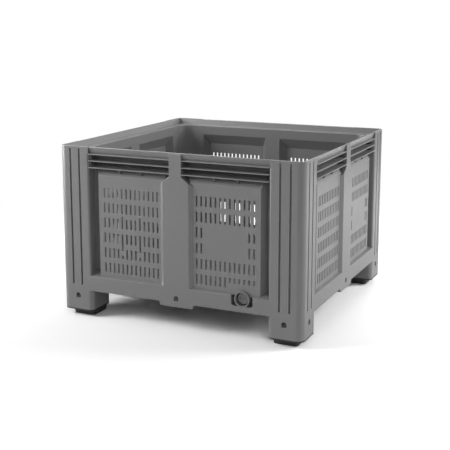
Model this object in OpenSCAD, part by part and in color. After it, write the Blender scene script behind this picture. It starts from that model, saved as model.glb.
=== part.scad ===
// Ventilated fruit bin: a square moulded box on four legs, with perforated wall panels,
// a slotted deck, black foot caps and a screw-in drain plug at the front.
// The bin stands on z = 0 and is centred on x and y. Its front faces -Y.
// Every side is the front side turned by a quarter turn. In a side's own frame x runs
// along the side, and depth is counted inwards from the outer face.

/* [Overall] */
// Outside length of each side
bin_side = 1130; // [1000:10:1300]
// Height from the floor to the rim
bin_h = 760; // [700:10:900]
// Thickness of the moulded skin
skin = 5; // [4:0.5:6]
// Depth of a wall from its outer face to its inner face
wall_depth = 55; // [50:1:65]
// Radius of the outer upright corners
corner_r = 33; // [20:1:45]

/* [Levels] */
// Underside of the lower rails
rail_z = 122; // [112:1:130]
// Top of the deck
deck_z = 150; // [145:1:155]
// Top of the lower rails
sill_z = 190; // [180:1:200]
// Rise of the sloping sill from the face to the inner skin
sill_rise = 17; // [10:1:22]
// Drop from the rim to the stacking ledge
ledge_drop = 29; // [24:1:34]

/* [Corner posts and legs] */
// Width of a post's face
post_w = 147; // [135:1:160]
// Radius of the cove in the inside corner
cove_r = 70; // [50:1:85]
// Rounding of a post's inner face edges
post_edge_r = 9; // [4:1:12]
// Width of a flute in a post's face
flute_w = 8; // [5:0.5:10]
// Depth of a flute
flute_depth = 10; // [6:1:14]
// Distance of the first flute from the corner
flute_near = 57; // [50:1:65]
// Distance of the second flute from the corner
flute_far = 101; // [90:1:110]
// Bare height of the post above its flutes
flute_top_margin = 10; // [5:1:20]
// Step of a leg beyond the width of the post's face
leg_step = 5; // [3:1:8]
// Rounding of a leg's upright edges
leg_edge_r = 22; // [10:1:28]

/* [Rim] */
// Set-back of the rim's outer edge from the wall's outer face
rim_set = 4; // [2:0.5:6]
// Thickness of the rim
rim_t = 6; // [5:0.5:8]
// Lean of the rim, inwards from its top to the ledge
rim_lean = 9; // [4:1:14]
// Thickness of a stiffening fin
fin_t = 4.5; // [3.5:0.5:6]
// Spacing of the three fins
fin_pitch = 29; // [25:1:32]
// Thickness of a gusset under the lowest fin
gusset_t = 4; // [3:0.5:6]
// Height of a gusset
gusset_h = 22; // [14:1:26]
// Depth of a gusset's upper front corner
gusset_set = 8; // [4:1:12]

/* [Centre posts] */
// Half width of a centre post's face
centre_half = 60; // [50:1:70]
// Sideways run of a centre post's slanted flank
flank_run = 16; // [8:1:20]
// Half width of the neck between the fins
neck_half = 28; // [20:1:36]
// Distance of the neck's foot below the rim
shoulder_drop = 99; // [90:1:110]
// Height of the sloping shoulder
shoulder_h = 36; // [24:1:44]
// Drop from the rim to the top of the neck
neck_drop = 4; // [2:1:8]
// Half width of the pad under a centre post
pad_half = 75; // [60:1:90]
// Height of that pad
pad_h = 18; // [12:1:22]
// Sideways run of the pad's slanted ends
pad_run = 7; // [4:1:12]

/* [Wall panels] */
// Depth of a panel's outer face
panel_set = 14; // [10:1:18]
// Distance of a panel's near edge from the middle of the side
near_edge = 63; // [58:1:70]
// Width of the channel between a panel's far edge and the corner post
channel_w = 41; // [34:1:48]
// Distance of a panel's top edge below the rim
panel_drop = 122; // [115:1:130]
// Run of the slanted border beside the centre post
near_run = 27; // [20:1:32]
// Run of the slanted border beside the corner post
far_run = 18; // [12:1:22]
// Run of the slanted border above a panel
top_run = 50; // [40:1:56]
// Run of the slanted border below a panel
bottom_run = 25; // [15:1:30]

/* [Ventilation slots] */
// Width of a slot
slot_w = 8; // [6:0.5:10]
// Length of a slot
slot_l = 43; // [35:1:48]
// Spacing of the columns of slots
column_pitch = 21.5; // [20:0.5:22]
// Spacing of the rows of slots
row_pitch = 66; // [60:1:68]
// Distance of the first column from the middle of the side
first_column = 91; // [88:1:95]
// Distance of the first row's top below the rim
first_row = 173; // [165:1:180]
// Least distance of the last column from the panel's far edge
column_margin = 26; // [24:1:28]
// Least distance of the last row above the lower rail
row_margin = 20; // [16:1:24]
// Added length of a card hook's upper slot
hook_up = 12; // [6:1:16]
// Added length of a card hook's lower slot
hook_down = 30; // [20:1:32]
// Shortening of the slot under a card hook
hook_gap = 28; // [24:1:30]

/* [Deck] */
// Thickness of the ribs under the deck
rib_t = 5; // [4:0.5:7]
// Cells between ribs along each side
deck_cells = 8; // [6:1:9]
// Slots in each cell
cell_slots = 3; // [2:1:4]
// Width of a deck slot
deck_slot_w = 6; // [4:0.5:9]
// Length of a deck slot
deck_slot_l = 78; // [60:1:85]

/* [Snap windows] */
// Width of an arched window
window_w = 21; // [16:1:24]
// Height of an arched window
window_h = 23; // [18:1:26]
// Distance of a leg's window from the corner
window_in = 79; // [72:1:84]
// Sill of a leg's window above the leg's lower end
window_rise = 50; // [44:1:56]
// Sill of a side's middle window above the rail's underside
middle_window_rise = 8; // [4:1:14]

/* [Foot caps] */
// Height of a cap's pad
foot_pad_h = 28; // [22:1:34]
// Thickness of a cap's flange
foot_flange_t = 6; // [4:0.5:8]
// Set-back of the pad from the leg's outer faces
foot_outer_set = 27; // [20:1:34]
// Set-back of the pad from the leg's inner faces
foot_inner_set = 7; // [4:1:12]
// Rounding of the pad's corners
foot_r = 20; // [10:1:28]
// Taper of the pad on each side
foot_taper = 6; // [2:1:8]
// Height of the ring that plugs into the leg
foot_ring_h = 26; // [18:1:32]
// Thickness of the ring and of its two snap arms
foot_ring_t = 4; // [3:0.5:5]
// Width of a snap arm
arm_w = 17; // [12:1:18]
// Thickness of the nose of a snap arm
arm_nose_h = 12; // [8:1:14]
// Reach of the nose into the window
arm_nose = 3; // [2:0.5:4]

/* [Drain] */
// Distance of the drain from the corner post
drain_in = 117; // [110:1:124]
// Height of the drain's axis above the deck
drain_rise = 27; // [27:1:30]
// Outside diameter of the spigot
spigot_d = 67; // [64:1:70]
// Diameter of the spigot's threaded mouth
mouth_d = 57; // [54:0.5:59]
// Depth of the mouth, down to the seal's seat
mouth_depth = 42; // [38:1:44]
// Diameter of the hole through the seat
seat_d = 42; // [38:0.5:44]
// Width of the recess around the spigot
recess_w = 95; // [90:1:100]
// Bottom of the recess above the rail's underside
recess_rise = 25; // [20:1:28]
// Depth of the recess
recess_depth = 40; // [30:1:42]
// Rounding of the recess's lower corners
recess_r = 12; // [6:1:20]
// Depth of the plug's head below the face
plug_set = 16; // [12:1:20]
// Diameter of the plug's head
plug_head_d = 46; // [40:1:50]
// Height of the plug's head
plug_head_h = 8; // [6:0.5:10]
// Width of the driving slot across the head
drive_w = 6; // [4:0.5:8]
// Length of the driving slot
drive_l = 34; // [28:1:38]
// Depth of the driving slot
drive_depth = 4; // [2:0.5:6]
// Diameter of the plug's nose
plug_nose_d = 34; // [30:0.5:36]
// Length of the plug's nose behind the seal
plug_nose_l = 9; // [6:1:14]
// Thickness of the seal
seal_t = 3; // [2:0.5:4]

/* [Hidden] */
// Overrun of every cut
cut = 2;
// Clearance round pieces that seat in one another
fit_gap = 0.3;
// Clearance of the moving plug in its mouth
thread_gap = 0.3;
// Share of a slot's length that is left above the drain
drain_slot_share = 0.5;
// Shares of the rail's half length at which its inner webs stand
web_shares = [-0.84, -0.6, -0.36, 0.36, 0.6, 0.84];
// Shares of a panel's width at which the gussets under the lowest fin stand
gusset_shares = [0.34, 0.67];
$fn = 64;

half = bin_side / 2;
foot_h = foot_pad_h + foot_flange_t;
ledge_z = bin_h - ledge_drop;
deck_under = deck_z - skin;
leg_w = post_w + leg_step;
collar_t = leg_step + skin / 2;
post_x = half - post_w;
skin_set = wall_depth - skin;
panel_depth = skin_set - panel_set;
panel_far = post_x - channel_w;
panel_z = bin_h - panel_drop;
band_z = panel_z + top_run;
shoulder_z = bin_h - shoulder_drop;
neck_z = bin_h - neck_drop;
centre_out = centre_half + flank_run;
inner_half = half - wall_depth;
drain_x = post_x - drain_in;
drain_z = deck_z + drain_rise;
columns = 1 + floor((panel_far - column_margin - first_column) / column_pitch);
rows = 1 + floor((bin_h - first_row - slot_l - row_margin - sill_z) / row_pitch);
hook_columns = [floor(columns / 2) - 2, floor(columns / 2) + 2];
fins = 3;
fin_low = ledge_z - fin_t - (fins - 1) * fin_pitch;
plain = "left";
grey = [0.46, 0.47, 0.47];
black = [0.07, 0.07, 0.07];
dark = [0.3, 0.31, 0.31];

sides = ["front", "right", "back", "left"];
corners = ["front_left", "front_right", "back_right", "back_left"];
hands = ["left", "right"];

// Turns a shape of the front side to another side, or of the front left corner to another corner
module at_side(i) {
    rotate([0, 0, 90 * i]) translate([0, -half, 0]) children();
}

module at_corner(i) {
    rotate([0, 0, 90 * i]) translate([-half, -half, 0]) children();
}

// A shape of the right-hand bay, or its mirror image in the left-hand bay
module in_bay(hand) {
    if (hand == plain) mirror([1, 0, 0]) children();
    else children();
}

// Extrudes a plan outline between two heights
module upright(z0, z1) {
    translate([0, 0, z0]) linear_extrude(z1 - z0) children();
}

// Extrudes an outline drawn in depth and height along the side, between two places
module along(x0, x1) {
    translate([x0, 0, 0]) rotate([90, 0, 90]) linear_extrude(x1 - x0) children();
}

// Extrudes an outline drawn in x and height inwards, between two depths
module inwards(d0, d1) {
    translate([0, d1, 0]) rotate([90, 0, 0]) linear_extrude(d1 - d0) children();
}

// A box between two corners
module box(low, high) {
    translate(low) cube(high - low);
}

// The waste outside a rounded corner at the origin, whose sides run along +x and +y
module corner_waste(r) {
    difference() {
        translate([-cut, -cut]) square(r + cut);
        translate([r, r]) circle(r);
    }
}

// An arched window, standing on the x axis
module arch(w, h) {
    translate([-w / 2, 0]) square([w, h - w / 2]);
    translate([0, h - w / 2]) circle(d = w);
}

// The space of one tapered panel tray. Its face lies at depth d0 and stands back by t
// from each slanted border, so that t = 0 gives the outside and t = skin the inside.
function border(run, t) = t * sqrt(1 + pow(run / panel_depth, 2));
function at_depth(edge, run, d) = edge + run * (d - panel_set) / panel_depth;

module tray_space(d0, t) {
    d1 = wall_depth + cut;
    near0 = at_depth(near_edge, -near_run, d0) + border(near_run, t);
    near1 = at_depth(near_edge, -near_run, d1) + border(near_run, t);
    far0 = at_depth(panel_far, far_run, d0) - border(far_run, t);
    far1 = at_depth(panel_far, far_run, d1) - border(far_run, t);
    low0 = at_depth(sill_z, -bottom_run, d0) + border(bottom_run, t);
    low1 = at_depth(sill_z, -bottom_run, d1) + border(bottom_run, t);
    top0 = at_depth(panel_z, top_run, d0) - border(top_run, t);
    top1 = at_depth(panel_z, top_run, d1) - border(top_run, t);
    intersection() {
        upright(low1 - cut, top1 + cut)
            polygon([[near0, d0], [far0, d0], [far1, d1], [near1, d1]]);
        along(near1 - cut, far1 + cut)
            polygon([[d0, low0], [d0, top0], [d1, top1], [d1, low1]]);
    }
}

module both_trays() {
    for (hand = hands) in_bay(hand) tray_space(panel_set, 0);
}

// Places of a panel's slots. A plain bay has longer slots in two columns, where a card
// holder hooks in, and a label bay is blank in the middle of its third and fourth rows.
function column_x(hand, c) =
    hand == plain ? -first_column - (columns - 1 - c) * column_pitch : first_column + c * column_pitch;
function is_hook(hand, c) = hand == plain && (c == hook_columns[0] || c == hook_columns[1]);
function is_blank(hand, r, c) = hand != plain && (r == 2 || r == 3) && c > 1 && c < columns - 2;
function over_drain(hand, r, c) =
    r == rows - 1 && abs(column_x(hand, c) - drain_x) < recess_w / 2 + column_pitch;
function row_top(r) = bin_h - first_row - r * row_pitch;
function slot_top(hand, r, c) =
    row_top(r) + (is_hook(hand, c) && r == 2 ? hook_up : 0) - (is_hook(hand, c) && r == 4 ? hook_gap : 0);
function slot_bottom(hand, r, c, drained) =
    row_top(r) - slot_l - (is_hook(hand, c) && r == 3 ? hook_down : 0)
    + (drained && over_drain(hand, r, c) ? slot_l * drain_slot_share : 0);

module slots(hand, drained) {
    for (r = [0:rows - 1], c = [0:columns - 1])
        if (!is_blank(hand, r, c))
            box([column_x(hand, c) - slot_w / 2, panel_set - cut, slot_bottom(hand, r, c, drained)],
                [column_x(hand, c) + slot_w / 2, panel_set + skin + cut, slot_top(hand, r, c)]);
}

// Cylinder along the drain's axis, in the frame of the front side
module drain_rod(d, d0, d1) {
    translate([drain_x, d0, drain_z]) rotate([-90, 0, 0]) cylinder(d = d, h = d1 - d0);
}

// A perforated wall panel with its four slanted borders
module panel(i, hand) {
    drained = i == 0 && hand != plain;
    color(grey) at_side(i) difference() {
        in_bay(hand) difference() {
            tray_space(panel_set, 0);
            tray_space(panel_set + skin, skin);
            box([0, wall_depth, 0], [half, wall_depth + cut + cut, bin_h]);
        }
        slots(hand, drained);
        if (drained) drain_rod(spigot_d + 2 * fit_gap, -cut, wall_depth + cut);
    }
}

// Plan of a corner post, or of its hollow when t is the skin's thickness. Where the rails
// meet the post, its two outer faces run on square.
module post_plan(t, square_faces = false) {
    bend = wall_depth + cove_r;
    difference() {
        union() {
            translate([t, t]) square([post_w - 2 * t, wall_depth - 2 * t]);
            translate([t, t]) square([wall_depth - 2 * t, post_w - 2 * t]);
            difference() {
                translate([t, t]) square(bend - t);
                translate([bend, bend]) circle(cove_r + t);
            }
        }
        translate([t, t]) corner_waste(corner_r - t);
        if (!square_faces) {
            translate([post_w - t, t]) mirror([1, 0]) corner_waste(max(post_edge_r - t, skin / 2));
            translate([t, post_w - t]) mirror([0, 1]) corner_waste(max(post_edge_r - t, skin / 2));
        }
        flutes(flute_depth, t);
    }
}

// Plan of a leg, or of its hollow when t is the skin's thickness. Where the rails meet
// the leg, its two outer faces run on square.
module leg_plan(t, square_faces = false) {
    w = leg_w - 2 * t;
    translate([t, t]) difference() {
        square(w);
        corner_waste(corner_r - t);
        translate([w, w]) rotate(180) corner_waste(leg_edge_r - t);
        if (!square_faces) {
            translate([w, 0]) mirror([1, 0]) corner_waste(leg_edge_r - t);
            translate([0, w]) mirror([0, 1]) corner_waste(leg_edge_r - t);
        }
    }
}

// The flutes in the two faces of a post, in plan
module flutes(depth, t = 0) {
    for (x = [flute_near, flute_far]) {
        translate([x - flute_w / 2 - t, -cut]) square([flute_w + 2 * t, depth + cut + t]);
        translate([-cut, x - flute_w / 2 - t]) square([depth + cut + t, flute_w + 2 * t]);
    }
}

// Lip that stands round the stacking ledge at a corner. Its inner faces lean like the rims.
module corner_lip() {
    difference() {
        upright(ledge_z, bin_h) difference() {
            square(post_w);
            corner_waste(corner_r);
        }
        intersection() {
            lip_space();
            mirror([1, -1, 0]) lip_space();
        }
        upright(ledge_z, bin_h - flute_top_margin) flutes(rim_t);
    }
}

module lip_space() {
    top_set = rim_set + rim_t;
    slope = rim_lean / ledge_drop;
    along(0, post_w + cut) polygon([
        [top_set - slope * cut, bin_h + cut], [top_set + rim_lean + slope * cut, ledge_z - cut],
        [post_w + cut, ledge_z - cut], [post_w + cut, bin_h + cut]
    ]);
}

module corner_post(i) {
    wing_end = half - panel_far;
    color(grey) at_corner(i) difference() {
        union() {
            upright(foot_h, rail_z) difference() {
                leg_plan(0);
                leg_plan(skin);
            }
            upright(rail_z, deck_under) difference() {
                leg_plan(0, true);
                leg_plan(collar_t, true);
            }
            upright(deck_under, sill_z) difference() {
                post_plan(0, true);
                post_plan(skin, true);
            }
            upright(sill_z, ledge_z - skin) difference() {
                post_plan(0);
                post_plan(skin);
            }
            upright(ledge_z - skin, ledge_z) post_plan(0);
            corner_lip();
            box([post_w - skin, skin_set, sill_z], [wing_end, wall_depth, band_z]);
            box([skin_set, post_w - skin, sill_z], [wall_depth, wing_end, band_z]);
        }
        for (turn = [0, 1]) translate([half, half, 0]) at_side(-turn) both_trays();
        for (flip = [0, 1]) mirror([flip, -flip, 0]) translate([window_in, 0, foot_h + window_rise])
            inwards(-cut, skin + cut) arch(window_w, window_h);
    }
}

// A hollow lower rail, open below, with its inner webs, its sloping sill and the pad under the
// centre post
module lower_rail(i) {
    drained = i == 0;
    recess_z = rail_z + recess_rise;
    color(grey) at_side(i) difference() {
        union() {
            difference() {
                box([-post_x, 0, rail_z], [post_x, wall_depth, sill_z]);
                difference() {
                    box([-post_x - cut, skin, rail_z - cut], [post_x + cut, skin_set, sill_z - skin]);
                    if (drained) inwards(0, recess_depth + skin)
                        translate([drain_x - recess_w / 2 - skin, recess_z - skin])
                            square([recess_w + 2 * skin, sill_z - recess_z + skin]);
                }
            }
            for (share = web_shares)
                box([share * post_x - skin / 2, 0, rail_z], [share * post_x + skin / 2, wall_depth, sill_z]);
            difference() {
                inwards(0, wall_depth) pad_outline(0);
                inwards(skin, skin_set) pad_outline(skin);
            }
            for (hand = hands) in_bay(hand) along(centre_half, post_x) polygon([
                [0, sill_z], [skin_set, sill_z + sill_rise],
                [skin_set, sill_z - skin], [0, sill_z - skin]
            ]);
        }
        both_trays();
        centre_body(0);
        for (side = [-1, 1]) box([side * half - leg_w, -cut, 0], [side * half + leg_w, leg_w, deck_under]);
        translate([0, 0, rail_z + middle_window_rise]) inwards(-cut, skin + cut) arch(window_w, window_h);
        if (drained) {
            inwards(-cut, recess_depth) difference() {
                translate([drain_x - recess_w / 2, recess_z]) square([recess_w, sill_z - recess_z + cut]);
                for (flip = [0, 1]) translate([drain_x, recess_z]) mirror([flip, 0])
                    translate([-recess_w / 2, 0]) corner_waste(recess_r);
            }
            drain_rod(spigot_d + 2 * fit_gap, -cut, wall_depth + cut);
        }
    }
}

module pad_outline(t) {
    polygon([
        [t - pad_half, rail_z - pad_h - t], [pad_half - t, rail_z - pad_h - t],
        [pad_half + pad_run - t, rail_z], [t - pad_half - pad_run, rail_z]
    ]);
}

// Lower part of a centre post, with slanted flanks and sloping shoulders
module centre_body(t) {
    out = centre_out - t;
    top = shoulder_z - t;
    intersection() {
        upright(sill_z - t, top)
            polygon([
                [-out, panel_set], [t / 2 - centre_half, t], [centre_half - t / 2, t], [out, panel_set],
                [out, skin_set], [-out, skin_set]
            ]);
        inwards(t - cut, wall_depth)
            polygon([
                [-out, sill_z - t], [out, sill_z - t], [out, top - shoulder_h],
                [neck_half, top], [-neck_half, top], [-out, top - shoulder_h]
            ]);
    }
}

// A hollow centre post with its neck between the fins and its strip of inner skin
module centre_post(i) {
    color(grey) at_side(i) difference() {
        union() {
            difference() {
                union() {
                    centre_body(0);
                    neck(0);
                }
                centre_body(skin);
                neck(skin);
            }
            box([-centre_out, skin_set, sill_z], [centre_out, wall_depth, band_z]);
        }
        both_trays();
        along(-neck_half - cut, neck_half + cut) polygon([
            [rim_set, bin_h], [rim_set + rim_lean, ledge_z], [rim_set + rim_lean, ledge_z - fin_t],
            [wall_depth, ledge_z - fin_t], [wall_depth, bin_h]
        ]);
    }
}

module neck(t) {
    box([t - neck_half, t, shoulder_z - shoulder_h - t], [neck_half - t, skin_set, neck_z - t]);
}

// Leaning rim, ledge and inner band of a side, in depth and height
module rim_outline() {
    polygon([
        [rim_set, bin_h], [rim_set + rim_t, bin_h],
        [rim_set + rim_t + rim_lean, ledge_z], [wall_depth, ledge_z],
        [wall_depth, band_z], [skin_set, band_z], [skin_set, ledge_z - fin_t],
        [rim_set + rim_lean, ledge_z - fin_t], [rim_set + rim_lean, ledge_z]
    ]);
}

// The stiff top of a side: rim, ledge, inner band, fins, end webs and the gussets below
module rim_beam(i) {
    color(grey) at_side(i) difference() {
        union() {
            along(-post_x, post_x) rim_outline();
            for (k = [0:fins - 1])
                box([-post_x, 0, ledge_z - fin_t - k * fin_pitch], [post_x, skin_set, ledge_z - k * fin_pitch]);
            for (hand = hands) in_bay(hand) {
                box([post_x - skin, panel_set, fin_low], [post_x, skin_set, ledge_z]);
                for (share = gusset_shares) translate([near_edge + share * (panel_far - near_edge), 0, 0])
                    along(-gusset_t / 2, gusset_t / 2) polygon([
                        [gusset_set, fin_low + fin_t], [skin_set, fin_low + fin_t],
                        [skin_set, fin_low - gusset_h], [gusset_set + panel_set, fin_low - gusset_h],
                        [gusset_set, fin_low]
                    ]);
            }
        }
        both_trays();
        difference() {
            neck(0);
            along(-neck_half - cut, neck_half + cut) rim_outline();
        }
    }
}

// The floor of the bin: a slotted plate on a grid of ribs, with its corners cut round the coves
module deck() {
    cell = 2 * inner_half / deck_cells;
    color(grey) difference() {
        union() {
            upright(deck_under, deck_z) difference() {
                translate([-inner_half, -inner_half]) square(2 * inner_half);
                for (a = [0:90:270]) rotate(a)
                    translate([-inner_half, -inner_half]) corner_waste(cove_r + fit_gap);
                for (ix = [0:deck_cells - 1], iy = [0:deck_cells - 1])
                    if ((ix > 0 && ix < deck_cells - 1) || (iy > 0 && iy < deck_cells - 1))
                        for (k = [1:cell_slots])
                            translate([ix * cell - inner_half + k * cell / (cell_slots + 1) - deck_slot_w / 2,
                                       (iy + 1 / 2) * cell - inner_half - deck_slot_l / 2])
                                square([deck_slot_w, deck_slot_l]);
            }
            for (turn = [0, 90], k = [1:deck_cells - 1]) rotate(turn)
                box([k * cell - inner_half - rib_t / 2, -inner_half, rail_z],
                    [k * cell - inner_half + rib_t / 2, inner_half, deck_under]);
        }
        for (i = [0:3]) at_corner(i) box([-cut, -cut, 0], [leg_w, leg_w, deck_under]);
    }
}

// A black cap: a pad below, a flange under the leg's end, and a ring with two snap arms inside
module foot_cap(i) {
    pad_w = leg_w - foot_outer_set - foot_inner_set;
    seat = skin + fit_gap;
    color(black) at_corner(i) {
        translate([foot_outer_set, foot_outer_set, 0]) hull()
            for (x = [foot_r, pad_w - foot_r], y = [foot_r, pad_w - foot_r]) translate([x, y, 0])
                cylinder(r1 = foot_r - foot_taper, r2 = foot_r, h = foot_pad_h, $fn = 32);
        upright(foot_pad_h, foot_h) leg_plan(0);
        upright(foot_h, foot_h + foot_ring_h) difference() {
            leg_plan(seat);
            leg_plan(seat + foot_ring_t);
        }
        for (flip = [0, 1]) mirror([flip, -flip, 0]) translate([window_in - arm_w / 2, 0, 0]) {
            box([0, seat, foot_h], [arm_w, seat + foot_ring_t, foot_h + window_rise + window_h]);
            box([0, skin - arm_nose, foot_h + window_rise + fit_gap],
                [arm_w, seat, foot_h + window_rise + arm_nose_h]);
        }
    }
}

// The drain's tube, flush with the wall inside and out, with a seat for the seal
module drain_spigot() {
    color(grey) at_side(0) difference() {
        drain_rod(spigot_d, 0, wall_depth);
        drain_rod(mouth_d, -cut, mouth_depth);
        drain_rod(seat_d, mouth_depth - cut, wall_depth + cut);
    }
}

module drain_seal() {
    color(black) at_side(0) difference() {
        drain_rod(mouth_d - 2 * thread_gap, mouth_depth - seal_t, mouth_depth);
        drain_rod(plug_nose_d + 2 * thread_gap, 0, wall_depth);
    }
}

// The screw plug: a slotted head, a threaded shank and a nose that carries the seal
module drain_plug() {
    head_end = plug_set + plug_head_h;
    shank_end = mouth_depth - seal_t - fit_gap;
    color(dark) at_side(0) difference() {
        union() {
            drain_rod(plug_head_d, plug_set, head_end);
            drain_rod(mouth_d - 2 * thread_gap, head_end, shank_end);
            drain_rod(plug_nose_d, shank_end, mouth_depth + plug_nose_l);
        }
        translate([drain_x - drive_l / 2, plug_set - cut, drain_z - drive_w / 2])
            cube([drive_l, drive_depth + cut, drive_w]);
    }
}

deck();
for (i = [0:3]) {
    corner_post(i);
    lower_rail(i);
    centre_post(i);
    rim_beam(i);
    for (hand = hands)
        panel(i, hand);
    foot_cap(i);
}
drain_spigot();
drain_seal();
drain_plug();
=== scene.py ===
"""A ventilated fruit bin of moulded grey polyethylene, standing on four legs with black foot caps.

The bin is 1.13 m square and 0.76 m high. It stands on z = 0 with its front towards -Y.
Lengths are in metres.
"""
import math
import bmesh
import bpy
from mathutils import Matrix, Vector
from mathutils.bvhtree import BVHTree


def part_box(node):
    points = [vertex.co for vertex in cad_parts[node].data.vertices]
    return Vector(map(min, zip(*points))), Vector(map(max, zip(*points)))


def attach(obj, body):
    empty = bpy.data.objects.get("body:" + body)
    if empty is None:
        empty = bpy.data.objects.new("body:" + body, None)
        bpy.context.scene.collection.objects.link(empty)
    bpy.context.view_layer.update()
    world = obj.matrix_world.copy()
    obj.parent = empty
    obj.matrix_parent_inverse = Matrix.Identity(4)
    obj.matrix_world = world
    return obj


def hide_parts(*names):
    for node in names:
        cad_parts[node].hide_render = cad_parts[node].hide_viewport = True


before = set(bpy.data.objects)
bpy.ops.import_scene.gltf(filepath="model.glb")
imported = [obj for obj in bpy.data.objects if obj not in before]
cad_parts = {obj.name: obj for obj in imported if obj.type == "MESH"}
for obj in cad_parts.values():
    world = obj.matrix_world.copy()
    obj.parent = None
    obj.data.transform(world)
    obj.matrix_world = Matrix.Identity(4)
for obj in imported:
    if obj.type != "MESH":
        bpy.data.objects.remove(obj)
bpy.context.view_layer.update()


# Moulded polyethylene. The real bin is one injection moulding of high-density polyethylene,
# coloured through in a neutral mid grey. Its tool is spark-eroded, so the skin has a soft sheen
# and a fine grain. The tone is a little cloudy from the flow, and paler where edges are rubbed.

def linear(hex_colour):
    """An sRGB hex colour as linear red, green, blue and alpha."""
    parts = [int(hex_colour[i:i + 2], 16) / 255 for i in (1, 3, 5)]
    return [c / 12.92 if c <= 0.04045 else ((c + 0.055) / 1.055) ** 2.4 for c in parts] + [1]


def add(tree, kind, links=(), **settings):
    """Adds a node with its settings. A link pairs an input with an output socket or a value."""
    node = tree.nodes.new(kind)
    for name, value in settings.items():
        setattr(node, name, value)
    for key, source in links:
        if isinstance(source, bpy.types.NodeSocket):
            tree.links.new(source, node.inputs[key])
        else:
            node.inputs[key].default_value = source
    return node


flow_cloud, cloud_dark, cloud_light = 0.14, 0.97, 1.03
rub_mark, rub_start, rub_full = 0.017, 0.4, 0.65
# A spark-eroded grain is about 0.1 mm wide, too fine to show, so it is drawn ten times as coarse.
tool_grain, grain_depth = 0.0011, 0.0003
gloss_swing = 0.05


def moulded_plastic(name, base, worn, roughness, ior, grain):
    """A moulded plastic: cloudy base colour, paler worn edges and a fine grain."""
    material = bpy.data.materials.new(name)
    material.use_nodes = True
    tree = material.node_tree
    shader = tree.nodes["Principled BSDF"]
    shader.inputs["IOR"].default_value = ior
    place = add(tree, "ShaderNodeTexCoord").outputs["Object"]
    cloud, fine, scuff = [
        add(tree, "ShaderNodeTexNoise", [("Vector", place), ("Scale", 1 / width), ("Detail", detail)])
        for width, detail in ((flow_cloud, 4), (tool_grain, 2), (rub_mark, 5))]
    edge = add(tree, "ShaderNodeAttribute", attribute_name="edge")
    tone = add(tree, "ShaderNodeMapRange", [
        ("Value", cloud.outputs["Fac"]), ("To Min", cloud_dark), ("To Max", cloud_light)])
    rubbed = add(tree, "ShaderNodeMapRange", [
        ("Value", scuff.outputs["Fac"]), ("From Min", rub_start), ("From Max", rub_full)])
    wear = add(tree, "ShaderNodeMath", [(0, rubbed.outputs[0]), (1, edge.outputs["Fac"])],
               operation="MULTIPLY")
    # Inputs 6 and 7 of a Mix node are its two colours, and output 2 is the mixed colour.
    shade = add(tree, "ShaderNodeMix", [
        ("Factor", wear.outputs[0]), (6, linear(base)), (7, linear(worn))], data_type="RGBA")
    colour = add(tree, "ShaderNodeVectorMath", [(0, shade.outputs[2]), ("Scale", tone.outputs[0])],
                 operation="SCALE")
    gloss = add(tree, "ShaderNodeMapRange", [
        ("Value", scuff.outputs["Fac"]), ("To Min", roughness - gloss_swing),
        ("To Max", roughness + gloss_swing)])
    relief = add(tree, "ShaderNodeBump", [
        ("Strength", grain), ("Distance", grain_depth), ("Height", fine.outputs["Fac"])])
    tree.links.new(colour.outputs[0], shader.inputs["Base Color"])
    tree.links.new(gloss.outputs[0], shader.inputs["Roughness"])
    tree.links.new(relief.outputs[0], shader.inputs["Normal"])
    return material


grey_polyethylene = moulded_plastic(
    "grey moulded polyethylene", "#727272", "#7e7e7e", roughness=0.36, ior=1.54, grain=0.02)


# Edges of the moulding. Every free edge of a moulded section has a small radius, while an edge
# that lies against the next section stays sharp, because there the plastic runs on unbroken.

# Points closer than these are one point, in a solid and where radii meet at a corner.
weld, corner_weld = 1e-5, 2e-6
# Angles in radians: faces that differ by less are one flat, and edges that turn more are sharp.
flat_angle, sharp_angle = 0.002, 0.6
# An edge shorter than this many radii gets none.
shortest_edge = 3

solid = {}
for name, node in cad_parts.items():
    shape = bmesh.new()
    shape.from_mesh(node.data)
    bmesh.ops.remove_doubles(shape, verts=shape.verts, dist=weld)
    solid[name] = shape
trees = {name: BVHTree.FromBMesh(shape) for name, shape in solid.items()}


def free_edges(shape, name, least_length):
    """The sharp edges of a section that no other section touches, split where contact ends."""
    touch, stride, fewest_steps = 0.0004, 0.004, 4
    low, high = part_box(name)
    near = []
    for other in solid:
        a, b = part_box(other)
        if other != name and all(a[i] < high[i] + touch and b[i] > low[i] - touch for i in range(3)):
            near.append(trees[other])

    def is_free(point):
        return all(tree.find_nearest(point, touch)[0] is None for tree in near)

    sharp = [e for e in shape.edges
             if len(e.link_faces) == 2 and e.calc_face_angle(0) > sharp_angle]
    free = []
    for edge in sharp:
        start, end = edge.verts
        a, b = start.co.copy(), end.co.copy()
        steps = max(fewest_steps, int((b - a).length / stride))
        states = [is_free(a.lerp(b, (k + 0.5) / steps)) for k in range(steps)]
        if (b - a).length < least_length or not any(states):
            continue
        if all(states):
            free.append(edge)
            continue
        done = 0
        for k in range(1, steps + 1):
            if k < steps and states[k] == states[k - 1]:
                continue
            piece = [e for e in start.link_edges if e.other_vert(start) == end][0]
            if k < steps:
                vert = bmesh.utils.edge_split(piece, start, (k - done) / (steps - done))[1]
                piece = [e for e in vert.link_edges if e.other_vert(vert) == start][0]
            if states[k - 1] and piece.calc_length() > least_length:
                free.append(piece)
            start, done = piece.other_vert(start), k
    return free


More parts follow.
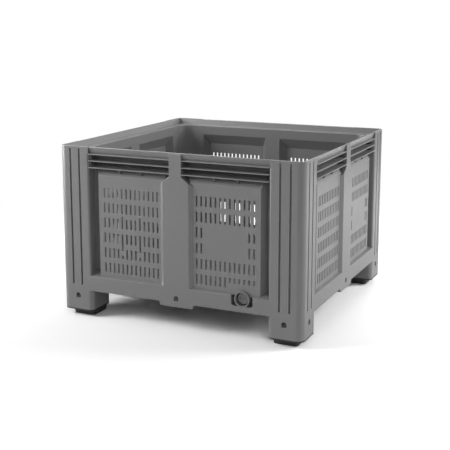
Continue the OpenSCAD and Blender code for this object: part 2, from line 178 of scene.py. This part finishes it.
def shading_normals(shape, layer):
    """A normal for each face corner.

    Flats stay flat, and a radius runs smoothly into the flats beside it.
    """
    facet, radius = math.cos(math.radians(12)), math.cos(math.radians(50))
    weighted = [face.normal * face.calc_area() for face in shape.faces]
    rounded = [face.loops[0][layer] > 0 for face in shape.faces]
    shape.faces.index_update()
    normals = []
    for face in shape.faces:
        for loop in face.loops:
            total = Vector((0, 0, 0))
            for other in loop.vert.link_faces:
                limit = radius if rounded[face.index] or rounded[other.index] else facet
                if other.normal.dot(face.normal) > limit:
                    total += weighted[other.index]
            normals.append(total.normalized())
    return normals


def moulded(name, material, rounds, shape=None, body="bin"):
    """A moulded section in place of its CAD node.

    Each round is a radius, and a test that picks the edges for it by their middles.
    """
    shape = shape or solid[name].copy()
    bmesh.ops.dissolve_limit(shape, angle_limit=flat_angle, verts=shape.verts, edges=shape.edges)
    layer = shape.loops.layers.float.new("edge")
    for radius, test in rounds:
        chosen = [e for e in free_edges(shape, name, shortest_edge * radius)
                  if test((e.verts[0].co + e.verts[1].co) / 2)]
        rounded = bmesh.ops.bevel(shape, geom=chosen, offset=radius, segments=2, profile=0.5,
                                  affect="EDGES", clamp_overlap=False)
        for face in rounded["faces"]:
            for loop in face.loops:
                loop[layer] = 1
    bmesh.ops.remove_doubles(shape, verts=shape.verts, dist=corner_weld)
    bmesh.ops.dissolve_degenerate(shape, edges=shape.edges, dist=corner_weld)
    bmesh.ops.delete(shape, geom=[e for e in shape.edges if e.is_wire], context="EDGES")
    shape.normal_update()
    mesh = bpy.data.meshes.new(name)
    shape.to_mesh(mesh)
    normals = shading_normals(shape, layer)
    shape.free()
    mesh.materials.append(material)
    mesh.shade_smooth()
    mesh.normals_split_custom_set(normals)
    piece = bpy.data.objects.new(name + "_moulded", mesh)
    bpy.context.scene.collection.objects.link(piece)
    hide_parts(name)
    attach(piece, body)


def anywhere(point):
    return True


# Deck. The floor of the bin is a slotted plate on a grid of ribs. It is moulded in one with the
# walls, in the same grey polyethylene.

deck_radius = 0.0012
moulded("deck", grey_polyethylene, [(deck_radius, anywhere)])


# Corner posts and legs. Each corner is a hollow fluted post that runs down into a square leg
# and up into the lip round the stacking ledge. Its larger radii are in the solid.

corners = ("front_left", "front_right", "back_right", "back_left")
post_radius = 0.001
lip_top, lip_face, lip_end = 0.758, 0.5645, 0.53
leg_top, same_level = 0.122, 0.0005


def has_radius(point):
    """False where it is too narrow: at the lip's thin tip and in the underside beside the leg."""
    across, along = sorted((abs(point.x), abs(point.y)))
    off_tip = point.z < lip_top or (along > lip_face and across < lip_end)
    return off_tip and abs(point.z - leg_top) > same_level


for corner in corners:
    moulded("corner_post_" + corner, grey_polyethylene, [(post_radius, has_radius)])


# Lower rails. A hollow rail with a sloping sill joins the legs on each side. A pad under its
# middle carries the bin on a conveyor.

sides = ("front", "right", "back", "left")
# Two of these radii fit on the pad's rim.
rail_radius = 0.0016
window_reach, window_low, window_top = 0.012, 0.128, 0.156


def off_window(point):
    """True away from the arched window in the middle of a rail, whose edges are sharp."""
    beside = min(abs(point.x), abs(point.y)) > window_reach
    return beside or not window_low < point.z < window_top


for side in sides:
    moulded("lower_rail_" + side, grey_polyethylene, [(rail_radius, off_window)])


# Centre posts. The middle of each side is a hollow post with slanted flanks, which narrows at
# the shoulders into a neck between the fins.

# It runs out above and below each fin, so twice this radius is less than a fin's thickness.
centre_radius = 0.0018
for side in sides:
    moulded("centre_post_" + side, grey_polyethylene, [(centre_radius, anywhere)])


# Rims. Each side ends in a leaning rim on a ledge, with three thin fins below. The rim's top
# is well rounded, and the fins are less so.

rim_crest = 0.755
crest_radius, fin_radius = 0.0028, 0.0015


def on_crest(point):
    return point.z > rim_crest


def below_crest(point):
    return point.z <= rim_crest


for side in sides:
    moulded("rim_beam_" + side, grey_polyethylene,
            [(crest_radius, on_crest), (fin_radius, below_crest)])


# Wall panels. Each bay is closed by a shallow tray with slanted borders, moulded with rows of
# upright air slots. The front left bay has longer slots for a card holder, and every right bay
# has a blank field for a label. The front right tray also lets the drain through.

half_side = 0.565
skin = 0.005
face_depth, wall_depth = 0.014, 0.055
border_depth = wall_depth - skin - face_depth
near_edge, near_run = 0.063, 0.027
far_edge, far_run = 0.377, 0.018
low_edge, low_run = 0.190, 0.025
top_edge, top_run = 0.638, 0.050
columns, column_pitch, first_column = 13, 0.0215, 0.091
rows, row_pitch, first_row = 6, 0.066, 0.587
slot_width, slot_length, slot_radius = 0.008, 0.043, 0.0006
label_rows, label_margin = (2, 3), 1
hook_columns, hook_rows = (4, 8), (2, 3, 4)
hook_up, hook_down, hook_gap = 0.012, 0.030, 0.028
drain_low, drain_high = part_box("drain_spigot")
drain = (drain_low + drain_high) / 2
drain_clear = 0.069
bore_radius, bore_sides = 0.0338, 96
bore_length = 4 * wall_depth
slot_weld = 1e-6


def tray_ring(depth, inset):
    """Corners of a tray at a depth, set in from its four borders."""
    deep = (depth - face_depth) / border_depth
    near = near_edge - near_run * deep + inset * math.hypot(1, near_run / border_depth)
    far = far_edge + far_run * deep - inset * math.hypot(1, far_run / border_depth)
    low = low_edge - low_run * deep + inset * math.hypot(1, low_run / border_depth)
    top = top_edge + top_run * deep - inset * math.hypot(1, top_run / border_depth)
    return [(x, depth - half_side, z) for x, z in ((near, low), (far, low), (far, top), (near, top))]


def openings(side, hand):
    """Middle and size of every slot of a panel, in the front side's frame."""
    carded = (side, hand) == ("front", "left")
    drained = (side, hand) == ("front", "right")
    upper, middle, lower = hook_rows
    for row in range(rows):
        for column in range(columns):
            x = first_column + column * column_pitch
            top = first_row - row * row_pitch
            bottom = top - slot_length
            in_label = row in label_rows and label_margin < column < columns - 1 - label_margin
            if hand == "right" and in_label:
                continue
            if carded and columns - 1 - column in hook_columns:
                top += hook_up * (row == upper) - hook_gap * (row == lower)
                bottom -= hook_down * (row == middle)
            if drained and row == rows - 1 and abs(x - drain.x) < drain_clear:
                bottom += slot_length / 2
            size = slot_width, 2 * skin, top - bottom
            yield (x, face_depth + skin / 2, (top + bottom) / 2), size


def geometry_tree(name, piece, inputs):
    """A node tree that takes a piece and more inputs and gives the piece, and its sockets by name."""
    tree = bpy.data.node_groups.new(name, "GeometryNodeTree")
    tree.interface.new_socket(piece, in_out="INPUT", socket_type="NodeSocketGeometry")
    for label, kind in inputs:
        tree.interface.new_socket(label, in_out="INPUT", socket_type="NodeSocket" + kind)
    tree.interface.new_socket(piece, in_out="OUTPUT", socket_type="NodeSocketGeometry")
    return tree, {item.name: item.identifier for item in tree.interface.items_tree
                  if item.in_out == "INPUT"}


def made_by(tree, socket, mesh, values):
    """The shape that a node tree makes of a mesh with these values."""
    maker = bpy.data.objects.new(mesh.name, mesh)
    bpy.context.scene.collection.objects.link(maker)
    modifier = maker.modifiers.new(tree.name, "NODES")
    modifier.node_group = tree
    for label, value in values.items():
        modifier[socket[label]] = value
    bpy.context.view_layer.update()
    graph = bpy.context.evaluated_depsgraph_get()
    shape = bmesh.new()
    shape.from_mesh(bpy.data.meshes.new_from_object(maker.evaluated_get(graph)))
    bpy.data.objects.remove(maker)
    return shape


perforate, perforate_socket = geometry_tree("perforate a panel", "Panel", (
    ("Openings", "Object"), ("Bore", "Object"), ("Plastic", "Material")))
given = add(perforate, "NodeGroupInput")
places = add(perforate, "GeometryNodeObjectInfo", [("Object", given.outputs["Openings"])])
bore = add(perforate, "GeometryNodeObjectInfo", [("Object", given.outputs["Bore"])])
size = add(perforate, "GeometryNodeInputNamedAttribute", [("Name", "size")],
           data_type="FLOAT_VECTOR")
cutter = add(perforate, "GeometryNodeMeshCube")
cutters = add(perforate, "GeometryNodeInstanceOnPoints", [
    ("Points", places.outputs["Geometry"]), ("Instance", cutter.outputs["Mesh"]),
    ("Scale", size.outputs["Attribute"])])
real = add(perforate, "GeometryNodeRealizeInstances", [("Geometry", cutters.outputs["Instances"])])
pierced = add(perforate, "GeometryNodeMeshBoolean", [("Mesh 1", given.outputs["Panel"])],
              operation="DIFFERENCE", solver="EXACT")
for waste in (real.outputs["Geometry"], bore.outputs["Geometry"]):
    perforate.links.new(waste, pierced.inputs["Mesh 2"])
painted = add(perforate, "GeometryNodeSetMaterial", [
    ("Geometry", pierced.outputs["Mesh"]), ("Material", given.outputs["Plastic"])])
add(perforate, "NodeGroupOutput", [("Panel", painted.outputs["Geometry"])])

bore_mesh = bpy.data.meshes.new("drain bore")
shape = bmesh.new()
bmesh.ops.create_cone(shape, cap_ends=True, segments=bore_sides, radius1=bore_radius,
                      radius2=bore_radius, depth=bore_length,
                      matrix=Matrix.Translation(drain) @ Matrix.Rotation(math.pi / 2, 4, "X"))
shape.to_mesh(bore_mesh)
shape.free()
drain_bore = bpy.data.objects.new("drain bore", bore_mesh)
bpy.context.scene.collection.objects.link(drain_bore)

rings = [tray_ring(face_depth, 0), tray_ring(wall_depth, 0),
         tray_ring(wall_depth, skin), tray_ring(face_depth + skin, skin)]
tray_faces = [(0, 1, 2, 3), (12, 13, 14, 15)] + [
    (4 * r + k, 4 * r + (k + 1) % 4, 4 * r + 4 + (k + 1) % 4, 4 * r + 4 + k)
    for r in range(3) for k in range(4)]
for turn, side in enumerate(sides):
    for hand in ("left", "right"):
        mirror = Matrix.Scale(-1 if hand == "left" else 1, 4, (1, 0, 0))
        place = Matrix.Rotation(turn * math.pi / 2, 4, "Z") @ mirror
        tray = bpy.data.meshes.new("panel tray")
        tray.from_pydata([place @ Vector(v) for ring in rings for v in ring], [], tray_faces)
        shape = bmesh.new()
        shape.from_mesh(tray)
        bmesh.ops.recalc_face_normals(shape, faces=shape.faces)
        shape.to_mesh(tray)
        shape.free()
        middles, sizes = zip(*openings(side, hand))
        points = bpy.data.meshes.new("panel openings")
        points.from_pydata([place @ Vector((x, y - half_side, z)) for x, y, z in middles], [], [])
        turned = [s if turn % 2 == 0 else (s[1], s[0], s[2]) for s in sizes]
        points.attributes.new("size", "FLOAT_VECTOR", "POINT").data.foreach_set(
            "vector", [length for s in turned for length in s])
        slots = bpy.data.objects.new("panel openings", points)
        bpy.context.scene.collection.objects.link(slots)
        shape = made_by(perforate, perforate_socket, tray, {
            "Openings": slots,
            "Bore": drain_bore if (side, hand) == ("front", "right") else None,
            "Plastic": grey_polyethylene})
        bpy.data.objects.remove(slots)
        bmesh.ops.remove_doubles(shape, verts=shape.verts, dist=slot_weld)
        moulded(f"panel_{side}_{hand}", grey_polyethylene, [(slot_radius, anywhere)], shape)
bpy.data.objects.remove(drain_bore)


# Foot caps. A black polyethylene cap is pushed into each leg and snaps into its two windows.
# Its pad is set back, so that it nests in the corner ledge of the bin below.

# Polyethylene from a blasted tool: near black, matt, and greyer where the pad scrapes.
black_polyethylene = moulded_plastic(
    "matt black moulded polyethylene", "#1a1a1b", "#2c2c2d", roughness=0.6, ior=1.54, grain=0.05)
cap_radius = 0.0015
for corner in corners:
    moulded("foot_cap_" + corner, black_polyethylene, [(cap_radius, anywhere)])


# Drain. A tube in the front wall holds a screw plug with a rubber seal behind its shank. The
# plug's thread is a raised helix on a slimmer core.

spigot_radius, seal_radius, plug_radius = 0.002, 0.0006, 0.0012
moulded("drain_spigot", grey_polyethylene, [(spigot_radius, anywhere)])

# Ethylene propylene rubber, moulded: black and matt, with almost no highlight.
black_rubber = moulded_plastic(
    "black moulded rubber", "#161616", "#1d1d1d", roughness=0.7, ior=1.48, grain=0.02)
moulded("drain_seal", black_rubber, [(seal_radius, anywhere)],
        body="drain_seal")

# The same polyethylene from another tool: a shade darker, and a little duller.
plug_polyethylene = moulded_plastic(
    "satin grey moulded polyethylene", "#6f6f6f", "#7b7b7b", roughness=0.4, ior=1.54, grain=0.02)

# How far behind the spigot's face the plug's shank starts and ends.
shank_start, shank_end = 0.024, 0.0387
shank_front, shank_back = drain_low.y + shank_start, drain_low.y + shank_end
shank_radius, core_radius, on_shank = 0.0282, 0.0268, 0.0002
thread_pitch, thread_height, thread_margin = 0.006, 0.0013, 0.0016
thread_length = shank_back - shank_front - 2 * thread_margin
thread_steps, thread_sides = 64, 6

wind, wind_socket = geometry_tree("wind a thread", "Plug", (
    ("Turns", "Float"), ("Length", "Float"), ("Radius", "Float"), ("Height", "Float"),
    ("Start", "Vector"), ("Plastic", "Material")))
given = add(wind, "NodeGroupInput")
helix = add(wind, "GeometryNodeCurveSpiral", [
    ("Resolution", thread_steps), ("Rotations", given.outputs["Turns"]),
    ("Start Radius", given.outputs["Radius"]), ("End Radius", given.outputs["Radius"]),
    ("Height", given.outputs["Length"]), ("Reverse", True)])
crest = add(wind, "GeometryNodeCurvePrimitiveCircle", [
    ("Resolution", thread_sides), ("Radius", given.outputs["Height"])])
wound = add(wind, "GeometryNodeCurveToMesh", [
    ("Curve", helix.outputs["Curve"]), ("Profile Curve", crest.outputs["Curve"]),
    ("Fill Caps", True)])
laid = add(wind, "GeometryNodeTransform", [
    ("Geometry", wound.outputs["Mesh"]), ("Translation", given.outputs["Start"]),
    ("Rotation", (-math.pi / 2, 0, 0))])
joined = add(wind, "GeometryNodeJoinGeometry", [("Geometry", given.outputs["Plug"])])
wind.links.new(laid.outputs["Geometry"], joined.inputs["Geometry"])
painted = add(wind, "GeometryNodeSetMaterial", [
    ("Geometry", joined.outputs["Geometry"]), ("Material", given.outputs["Plastic"])])
add(wind, "NodeGroupOutput", [("Plug", painted.outputs["Geometry"])])

core = bpy.data.meshes.new("plug core")
solid["drain_plug"].to_mesh(core)
for vert in core.vertices:
    arm = Vector((vert.co.x - drain.x, vert.co.z - drain.z))
    if abs(arm.length - shank_radius) < on_shank:
        arm *= core_radius / shank_radius
        vert.co.x, vert.co.z = drain.x + arm.x, drain.z + arm.y
shape = made_by(wind, wind_socket, core, {
    "Turns": thread_length / thread_pitch,
    "Length": thread_length,
    "Radius": core_radius,
    "Height": thread_height,
    "Start": (drain.x, shank_front + thread_margin, drain.z),
    "Plastic": plug_polyethylene})
moulded("drain_plug", plug_polyethylene, [(plug_radius, anywhere)], shape,
        body="drain_plug")

for shape in solid.values():
    shape.free()


# Studio. A white floor runs into a white background. Softboxes stand to the right, the left and
# behind, with a weak fill in front. Two more show only in reflections and pick out the edges.

floor_reach = 30
# Distances from the bin's middle over which the floor turns to plain white.
fade_start, fade_end = 1.2, 2.6
# Brightness of the floor to other surfaces and to the camera, and of the world likewise.
floor_tone, floor_shown = 0.9, 1.2
world_tone, world_shown = 0.15, 1.0

floor_mesh = bpy.data.meshes.new("floor")
floor_mesh.from_pydata(
    [(x * floor_reach, y * floor_reach, 0) for x, y in ((-1, -1), (1, -1), (1, 1), (-1, 1))],
    [], [(0, 1, 2, 3)])
floor = bpy.data.objects.new("floor", floor_mesh)
bpy.context.scene.collection.objects.link(floor)
white_paint = bpy.data.materials.new("white studio floor")
white_paint.use_nodes = True
tree = white_paint.node_tree
tree.nodes.clear()
path = add(tree, "ShaderNodeLightPath")
place = add(tree, "ShaderNodeTexCoord").outputs["Object"]
away = add(tree, "ShaderNodeVectorMath", [(0, place)], operation="LENGTH")
far = add(tree, "ShaderNodeMapRange", [
    ("Value", away.outputs["Value"]), ("From Min", fade_start), ("From Max", fade_end)],
    interpolation_type="SMOOTHSTEP")
glow = add(tree, "ShaderNodeMath", [(0, far.outputs[0]), (1, path.outputs["Is Camera Ray"])],
           operation="MULTIPLY")
lift = add(tree, "ShaderNodeMapRange", [
    ("Value", path.outputs["Is Camera Ray"]), ("To Min", floor_tone), ("To Max", floor_shown)])
paint = add(tree, "ShaderNodeBsdfDiffuse", [("Color", lift.outputs[0])])
white = add(tree, "ShaderNodeEmission", [("Color", (1, 1, 1, 1)), ("Strength", 1)])
mixed = add(tree, "ShaderNodeMixShader", [
    (0, glow.outputs[0]), (1, paint.outputs[0]), (2, white.outputs[0])])
add(tree, "ShaderNodeOutputMaterial", [("Surface", mixed.outputs[0])])
floor_mesh.materials.append(white_paint)

world = bpy.data.worlds.new("white studio")
bpy.context.scene.world = world
world.use_nodes = True
tree = world.node_tree
tree.nodes.clear()
path = add(tree, "ShaderNodeLightPath")
clear = add(tree, "ShaderNodeMath", [
    (0, path.outputs["Is Glossy Ray"]), (1, path.outputs["Is Transmission Ray"])],
    operation="MAXIMUM")
shown = add(tree, "ShaderNodeMath", [(0, path.outputs["Is Camera Ray"]), (1, clear.outputs[0])],
            operation="MAXIMUM")
strength = add(tree, "ShaderNodeMapRange", [
    ("Value", shown.outputs[0]), ("To Min", world_tone), ("To Max", world_shown)])
white = add(tree, "ShaderNodeBackground", [
    ("Color", (1, 1, 1, 1)), ("Strength", strength.outputs[0])])
add(tree, "ShaderNodeOutputWorld", [("Surface", white.outputs[0])])

aim = Vector((0, 0, 0.4))
# Each has a place, a width and a power in watts, and may light surfaces or show in reflections.
for name, place, width, power, lights, shines in (
    ("right softbox", (3.6, 1.8, 2.2), 2.0, 155, True, True),
    ("left softbox", (-3.2, -2.2, 2.5), 1.8, 145, True, False),
    ("front fill", (2.4, -3.6, 2.6), 1.8, 40, True, False),
    ("back softbox", (0.2, 3.8, 1.7), 1.8, 85, True, False),
    ("overhead edge light", (-1.2, 0.2, 2.8), 2.2, 130, False, True),
    ("left edge light", (-3.2, -1.1, 1.3), 1.6, 300, False, True),
):
    lamp = bpy.data.lights.new(name, "AREA")
    lamp.shape = "SQUARE"
    lamp.size = width
    lamp.energy = power
    light = bpy.data.objects.new(name, lamp)
    light.location = place
    light.visible_diffuse = lights
    light.visible_glossy = shines
    light.rotation_euler = (aim - Vector(place)).to_track_quat("-Z", "Y").to_euler()
    bpy.context.scene.collection.objects.link(light)


# Camera. It stands to the right of the front, above the rim, and looks down a little, as in the
# photograph. Its lens is shifted so that the uprights stay nearly upright.

photo_pixels, focal_pixels, sensor_mm = 450, 946.9, 36
tilt_degrees, turn_degrees = 10.368, 24.633
camera = bpy.data.objects.new("camera", bpy.data.cameras.new("camera"))
camera.data.lens = focal_pixels / photo_pixels * sensor_mm
camera.data.shift_y = -0.1
camera.location = (1.7813, -3.9557, 1.3485)
camera.rotation_euler = (math.radians(90 - tilt_degrees), 0, math.radians(turn_degrees))
bpy.context.scene.collection.objects.link(camera)
bpy.context.scene.camera = camera
bpy.context.scene.view_settings.view_transform = "Standard"
